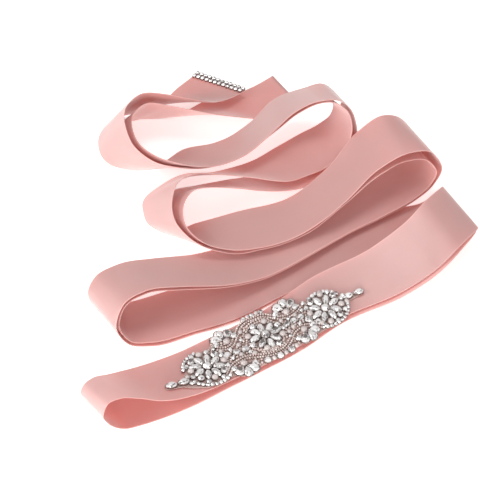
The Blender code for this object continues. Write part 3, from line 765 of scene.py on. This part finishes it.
def around(middle, radius, first, count, step):
    """Along, across and outward angle of places on a circle."""
    angle = first + step * np.arange(count)
    along = middle[0] + radius * np.cos(np.radians(angle))
    across = middle[1] + radius * np.sin(np.radians(angle))
    return np.stack([along, across, angle], axis=1)


def sized(places, length, width, height, lift=BED):
    """Adds the same length, width, lift and height to every place."""
    same = np.tile([length, width, lift, height], (len(places), 1))
    return np.concatenate([places, same], axis=1)


def by_hand(places, seed, shift, turn):
    """Moves and turns every place a little, as stones sewn on by hand are."""
    step = np.random.default_rng(seed).uniform(-1, 1, (len(places), 3))
    return places + step * [shift, shift, turn]


# Three medallions of claw-set crystal: a round stone inside eight marquises, round stones and
# pearls between their tips, and small stones outside, a full ring of them on the outer two.
# A claw sits at the inner end of each marquise.
MEDALLION_COLUMNS = ("name", "along", "across", "turned", "seed", "rim stones")
MEDALLIONS = (
    ("left", -47, -4.5, 20.0, 3, 8),
    ("middle", -1.2, 1, -4.0, 5, 1),
    ("right", 44, -3.8, 9.0, 7, 8),
)

for side_name, along, across, turned, seed, rim_stones in MEDALLIONS:
    middle = (along, across)
    petals = by_hand(around(middle, 7.3, turned, 8, 45), seed, 0.35, 7)
    between = by_hand(around(middle, 11.4, turned + 22.5, 8, 45), seed + 1, 0.4, 20)
    outer = by_hand(around(middle, 13.4, turned, 8, 45), seed + 2, 0.4, 20)
    claws = around(middle, 3.4, turned, 8, 45)
    groups = (
        set_stones("round", sized(np.array([[*middle, turned]]), 6.2, 6.2, 3.9))
        + set_stones("marquise", sized(petals, 8.8, 4.8, 2.9))
        + set_stones("round", sized(between[::2], 4.6, 4.6, 2.7))
        + [(PEARL, sized(between[1::2], 4.3, 4.3, 3.3, 1.15), 2, True)]
        + set_stones("round", sized(outer[:rim_stones], 3.7, 3.7, 2.2))
        + [(SEED, sized(claws, 1.1, 0.9, 1.1, 2.6), 1, True)]
    )
    medallion = jewel_object(f"medallion_{side_name}_jewels", groups)
    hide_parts(f"medallion_{side_name}")

# Four side clusters that overhang the ribbon's edges: a fan of three drops, with a round stone at each side
# and a pearl at its root.
CLUSTER_COLUMNS = ("name", "along", "across", "facing")
CLUSTERS = (
    ("upper_left", -26, 11.5, 98),
    ("upper_right", 21, 12.5, 76),
    ("lower_left", -26, -16.5, 262),
    ("lower_right", 23, -12.5, 285),
)

for corner, along, across, facing in CLUSTERS:
    inward = np.radians(facing + 180)
    root = (along + 1.2 * np.cos(inward), across + 1.2 * np.sin(inward))
    drops = around(root, 5.6, facing - 50, 3, 50)
    sides = around(root, 7.2, facing - 88, 2, 176)
    pearl = around(root, 1.6, facing + 180, 1, 1)
    groups = (
        set_stones("drop", sized(drops, 8.6, 6.2, 3.3))
        + set_stones("round", sized(sides, 4.6, 4.6, 2.6))
        + [(PEARL, sized(pearl, 4.6, 4.6, 3.6, 1.15), 2, True)]
        + [(SEED, sized(around(root, 2.2, facing, 1, 1), 1.6, 1.6, 1.4, 2.2), 1, True)]
    )
    cluster = jewel_object(f"cluster_{corner}_jewels", groups)
    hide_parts(f"cluster_{corner}")

# The two tips: a pair of marquises end to end, running out onto the ribbon.
TIP_COLUMNS = ("name", "along", "across", "lean", "length", "width")
TIPS = (
    ("left", -71.8, -11.0, 4, 8.8, 5.2),
    ("right", 66, -2.2, 2, 7.2, 4.4),
)

for side_name, along, across, lean_angle, long, wide in TIPS:
    lean = np.radians(lean_angle)
    step = (long / 2 + 0.2) * np.array([np.cos(lean), np.sin(lean)])
    pair = np.array([(along + side * step[0], across + side * step[1], lean_angle) for side in (-1, 1)])
    groups = set_stones("marquise", sized(pair, long, wide, 2.9))
    tip = jewel_object(f"tip_{side_name}_jewels", groups)
    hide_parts(f"tip_{side_name}")

# Bead cords and stone chains: two rows of seed beads in a long wave above and below the middle
# medallion, cup chain round the outer medallions, loose stones and pearls in the gaps, and seed
# beads sewn close together over the net that is left bare.
UPPER_WAVE = (
    (-34, 7), (-25, 4.2), (-17, 11.5), (-10, 17.6), (-1, 18.4),
    (7, 16.4), (13, 10), (20, 6.6), (31, 8.6),
)
LOWER_WAVE = (
    (-39, -17.5), (-34, -12.6), (-28, -10), (-20, -9.5), (-13, -12.4), (-4, -15.4),
    (4, -15.2), (10, -11.8), (16, -6.8), (21, -5.8), (27, -8.4), (36, -15.5),
)


def wave(knees, shift, pitch):
    """Evenly spaced places on a smooth line through the knees, shifted square to its slope."""
    knees = np.array(knees, dtype=float)
    fine = np.linspace(knees[0, 0], knees[-1, 0], 400)
    height = smooth(knees[:, 0], knees[:, 1:], fine)[:, 0]
    slope = np.gradient(height, fine)
    steep = np.sqrt(1 + slope**2)
    return even(np.stack([fine - shift * slope / steep, height + shift / steep], axis=1), pitch)


def even(line, pitch):
    """Places a pitch apart along a line of points, with the line's angle at each."""
    steps = np.linalg.norm(np.diff(line, axis=0), axis=1)
    at = np.concatenate([[0.0], np.cumsum(steps)])
    where = np.arange(pitch / 2, at[-1], pitch)
    along = np.interp(where, at, line[:, 0])
    across = np.interp(where, at, line[:, 1])
    angle = np.degrees(np.arctan2(np.gradient(across), np.gradient(along)))
    return np.stack([along, across, angle], axis=1)


def chain_arc(middle, wide, tall, first, last, pitch):
    """Evenly spaced places on part of an ellipse."""
    angle = np.radians(np.linspace(first, last, 60))
    line = np.stack([middle[0] + wide * np.cos(angle), middle[1] + tall * np.sin(angle)], axis=1)
    return even(line, pitch)


CORD_PITCH = 1.7
CORD_SHIFT = 1.1
cord_beads = np.concatenate(
    [
        wave(knees, shift, CORD_PITCH)
        for knees in (UPPER_WAVE, LOWER_WAVE)
        for shift in (-CORD_SHIFT, CORD_SHIFT)
    ]
)
left_middle, inner_middle, right_middle = [row[1:3] for row in MEDALLIONS]
rims = np.concatenate(
    [
        chain_arc(left_middle, 16.8, 16.2, 208, 312, 2.9),
        chain_arc(left_middle, 15.6, 14.6, 92, 172, 2.9),
        chain_arc(right_middle, 15.4, 14.6, -132, 4, 2.9),
        chain_arc(right_middle, 14.6, 14.0, 24, 118, 2.9),
    ]
)
inner_rows = np.concatenate(
    [
        chain_arc(inner_middle, 12.8, 13.0, 38, 142, 1.9),
        chain_arc(inner_middle, 14.4, 15.0, 50, 130, 1.9),
        chain_arc(inner_middle, 12.8, 12.4, 215, 322, 1.9),
        chain_arc(inner_middle, 14.6, 14.2, 235, 300, 1.9),
    ]
)
crown_row = chain_arc((-1, -20), 40, 41.2, 77, 102, 3.3)
foot_row = chain_arc((-1, 22), 46, 41.4, 255, 287, 4.4)
left_gap = np.array([(-37.5, 2.6, 35), (-31, -1.4, 5), (-24.4, -2.2, 0), (-18.2, -2.6, 0)])
right_gap = np.array([(15.4, 1.2, 10), (20.6, 1.0, 0), (26.2, 0.6, 0), (29.6, -3.8, 40)])
small_beads = np.array(
    [
        (-34.6, -5.4), (-28.6, -5.4), (-22.6, -5.6), (-16.8, -6.4), (-33.2, 3.0), (-27.0, 1.6),
        (-20.6, 2.4), (-16.6, 5.6), (13.6, 5.8), (18.4, 4.4), (23.8, 4.4), (29.4, 4.6),
        (17.6, -3.2), (23.2, -3.4), (13.4, -5.0), (-36.4, -8.8), (-37.6, -13.0), (33.4, 9.2),
        (35.6, -12.6), (-36.2, 7.4), (-62.8, -8.0), (-63.0, -13.6), (59.4, -6.2), (59.6, -0.4),
        (-13.6, 12.2), (11.4, 10.8), (-14.6, -8.8), (12.0, -8.8),
    ]
)
small_beads = by_hand(np.column_stack([small_beads, np.zeros(len(small_beads))]), 11, 0.3, 30)


FLOWER_RADIUS = 11.0


def filling_seeds(pitch, margin):
    """Seeds sewn close together over the bare net: a staggered grid less the flowers and cords."""
    along, across = np.meshgrid(np.arange(-40.0, 38.0, pitch), np.arange(-18.0, 20.0, pitch * 0.87))
    along[1::2] += pitch / 2
    spots = np.column_stack([along.ravel(), across.ravel()])
    outline = np.array(NET_OUTLINE)
    above = spots[:, 1] > np.interp(spots[:, 0], outline[:, 0], outline[:, 1]) + margin
    below = spots[:, 1] < np.interp(spots[:, 0], outline[:, 0], outline[:, 2]) - margin
    spots = spots[above & below]
    for centre in MEDALLIONS:
        spots = spots[np.hypot(spots[:, 0] - centre[1], spots[:, 1] - centre[2]) > FLOWER_RADIUS]
    away = np.hypot(*(spots[:, None] - cord_beads[None, :, :2]).transpose(2, 0, 1)).min(axis=1)
    spots = spots[away > CORD_PITCH]
    return by_hand(np.column_stack([spots, np.zeros(len(spots))]), 23, 0.35, 90)


seeds = filling_seeds(2.3, 1.2)
groups = (
    [(SEED, sized(cord_beads, 1.7, 1.9, 1.7, 1.1), 3, True)]
    + [(SEED, sized(inner_rows, 1.9, 1.9, 1.8, 1.1), 3, True)]
    + [(SEED, sized(seeds, 2.0, 2.0, 1.5, 1.0), 3, True)]
    + set_stones("round", sized(rims, 2.9, 2.7, 2.0))
    + set_stones("round", sized(crown_row[::2], 3.6, 3.6, 2.4))
    + set_stones("round", sized(foot_row[::2], 5.0, 5.0, 2.8))
    + [(PEARL, sized(np.concatenate([crown_row[1::2], foot_row[1::2]]), 3.0, 3.0, 2.7, 1.15), 2, True)]
    + set_stones("round", sized(np.concatenate([left_gap, right_gap]), 5.6, 4.6, 2.6))
    + [(PEARL, sized(small_beads[::2], 3.1, 3.1, 2.7, 1.15), 2, True)]
    + set_stones("round", sized(small_beads[1::2], 3.0, 3.0, 2.1))
)
chains = jewel_object("bead_cords_and_chains", groups)

# The end bar: two rows of round stones in plated cups, soldered side by side and lying on the
# sewn end of the upper half.
BAR_STONES = 12
BAR_ROWS = (-3.9, -0.5)


def on_end(along, across, lift):
    """Points over the sewn end: along is the distance from its cut edge, across from the near edge."""
    table = upper_rows()[:, :5]
    at = knots(table)
    spots = []
    for step in (-0.2, 0.0, 0.2):
        taken = smooth(at, table, at[-1] + along + step)
        width = aim(taken[:, 3], taken[:, 4])
        spots.append(taken[:, :3] + across[:, None] * width)
    normal = np.cross(spots[2] - spots[0], width)
    normal /= np.linalg.norm(normal, axis=1)[:, None]
    points = spots[1] + lift[:, None] * normal
    points[:, :2] -= BOX_MIDDLE
    return points * MM


pitch = RIBBON_WIDTH / BAR_STONES
columns = pitch * (np.arange(BAR_STONES) + 0.5)
bar_places = np.array([(row, column, 0.0) for row in BAR_ROWS for column in columns])
groups = set_stones("round", sized(bar_places, 3.1, 2.9, 2.3, 0.6))
bar = jewel_object("end_bar_stones", groups, carry=on_end)
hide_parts("end_bar")

# Camera: looks down at 45 degrees from the front, from 1.6 m, with a long lens.
# The photograph's middle falls on the table's own zero point.
CAMERA_HEIGHT = 45.0
CAMERA_AWAY = 1.6
PIXELS_PER_METRE = 1520.0
PHOTO_SIDE = 500

lean = math.radians(CAMERA_HEIGHT)
aim_at = np.array([-BOX_MIDDLE[0] * MM, -BOX_MIDDLE[1] * MM, 0.0])
camera_data = bpy.data.cameras.new("camera")
camera_data.sensor_width = 36.0
camera_data.lens = 36.0 * PIXELS_PER_METRE * CAMERA_AWAY / PHOTO_SIDE
camera = bpy.data.objects.new("camera", camera_data)
camera.location = aim_at + CAMERA_AWAY * np.array([0.0, -math.cos(lean), math.sin(lean)])
camera.rotation_euler = (math.pi / 2 - lean, 0.0, 0.0)
bpy.context.collection.objects.link(camera)
bpy.context.scene.camera = camera

# Studio light: an even white surround, soft boxes on the left, in front and above.
# Whites are kept white, as in a catalogue picture on a white ground.
SKY_STRENGTH = 0.44
LIGHT_COLUMNS = ("name", "x", "y", "z", "size", "power")
LIGHTS = (
    ("key_box", -1.2, -0.55, 0.65, 0.8, 10.5),
    ("front_box", 0.1, -1.4, 0.32, 0.9, 16.0),
    ("top_box", 0.0, 0.35, 1.3, 0.5, 4.5),
)


def soft_box(name, place, size, power):
    """A square area light aimed at the belt."""
    data = bpy.data.lights.new(name, "AREA")
    data.shape = "SQUARE"
    data.size = size
    data.energy = power
    made = bpy.data.objects.new(name, data)
    made.location = place
    made.rotation_euler = (-Vector(place)).to_track_quat("-Z", "Y").to_euler()
    bpy.context.collection.objects.link(made)


for light_name, x, y, z, side, watts in LIGHTS:
    soft_box(light_name, (x, y, z), side, watts)

world = bpy.data.worlds.new("studio")
world.use_nodes = True
world.node_tree.nodes["Background"].inputs["Color"].default_value = (1.0, 1.0, 1.0, 1.0)
world.node_tree.nodes["Background"].inputs["Strength"].default_value = SKY_STRENGTH
bpy.context.scene.world = world
bpy.context.scene.view_settings.view_transform = "Standard"
